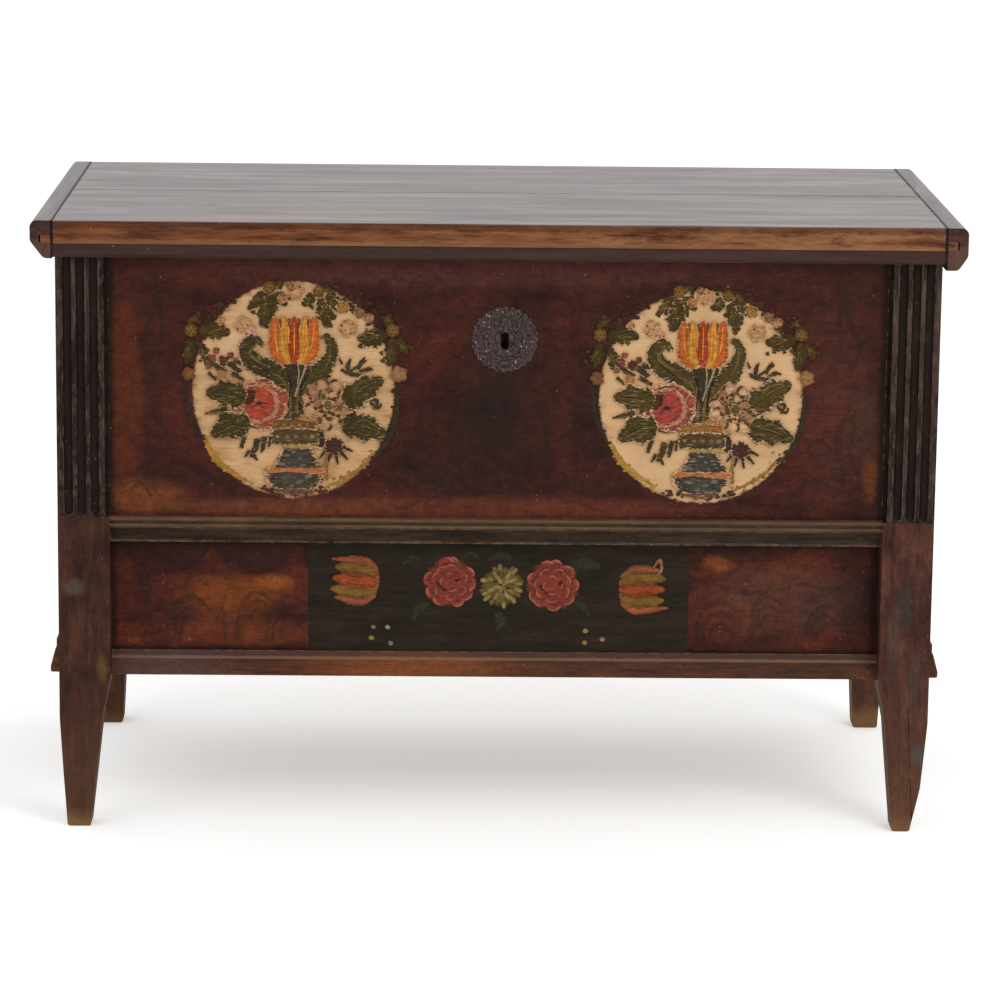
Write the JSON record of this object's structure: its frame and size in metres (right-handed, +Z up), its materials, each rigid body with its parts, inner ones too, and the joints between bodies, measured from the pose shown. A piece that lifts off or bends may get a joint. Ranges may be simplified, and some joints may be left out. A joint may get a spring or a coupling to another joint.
{
  "type": "wedding chest",
  "caption": "Painted softwood chest on tapered legs with fluted corner posts, moulded rails, hinged flat lid, plate lock and inner till, for storing linen and clothes.",
  "frame": {"origin": "on the floor, under the middle of the lid", "axes": "+Z up; the painted front faces -Y; +X to the right of someone who faces it"},
  "size_m": [1.18, 0.61, 0.794],
  "materials": {
    "post_paint": "worn dark brown paint on softwood",
    "panel_paint": "worn red-brown paint on softwood",
    "lid_wood": "waxed old paint, worn to the wood on the edges",
    "bare_softwood": "planed, unfinished and darkened with age",
    "forged_iron": "hand-forged, oxidised dark"
  },
  "bodies": {
    "carcass": {"front_left_post": "post_paint", "front_right_post": "post_paint", "rear_left_post": "post_paint", "rear_right_post": "post_paint", "front_panel": "panel_paint", "front_frieze": "panel_paint", "front_mid_rail": "panel_paint", "front_bottom_rail": "panel_paint", "left_upper_side_board": "panel_paint", "left_lower_side_board": "panel_paint", "right_upper_side_board": "panel_paint", "right_lower_side_board": "panel_paint", "left_side_base_moulding": "panel_paint", "right_side_base_moulding": "panel_paint", "back_upper_board": "bare_softwood", "back_middle_board": "bare_softwood", "back_lower_board": "bare_softwood", "front_floor_bearer": "bare_softwood", "rear_floor_bearer": "bare_softwood", "floor_board_1": "bare_softwood", "floor_board_2": "bare_softwood", "floor_board_3": "bare_softwood", "floor_board_4": "bare_softwood", "floor_board_5": "bare_softwood", "till_bottom_board": "bare_softwood", "till_front_board": "bare_softwood", "left_hinge_back_leaf": "forged_iron", "right_hinge_back_leaf": "forged_iron", "left_hinge_pin": "forged_iron", "right_hinge_pin": "forged_iron", "back_hinge_nails": "forged_iron", "lock_plate": "forged_iron", "lock_bolt_guides": "forged_iron", "lock_spring": "forged_iron", "lock_cover": "forged_iron", "key_pin": "forged_iron", "lock_nails": "forged_iron", "keyhole_rosette": "forged_iron", "rosette_pins": "forged_iron", "left_moulding_nails": "forged_iron", "right_moulding_nails": "forged_iron", "floor_nails": "forged_iron", "front_bearer_nails": "forged_iron", "rear_bearer_nails": "forged_iron"},
    "lid": {"lid_front_board": "lid_wood", "lid_rear_board": "lid_wood", "lid_left_batten": "lid_wood", "lid_right_batten": "lid_wood", "lid_front_strip": "lid_wood", "lid_batten_pegs": "lid_wood", "left_hinge_strap": "forged_iron", "right_hinge_strap": "forged_iron", "lid_hinge_nails": "forged_iron", "lid_strip_nails": "forged_iron", "lid_staple": "forged_iron", "lid_staple_nails": "forged_iron"},
    "lock_bolt": {"lock_bolt": "forged_iron"}
  },
  "joints": [
    {"name": "lid_hinge", "type": "hinge", "parent": "carcass", "child": "lid", "pos_m": [0, 0.28805, 0.75895], "axis": [-1, 0, 0], "range_deg": [0, 100]},
    {"name": "lock_bolt_slide", "type": "slide", "parent": "carcass", "child": "lock_bolt", "axis": [1, 0, 0], "range_m": [0, 0.012]}
  ]
}
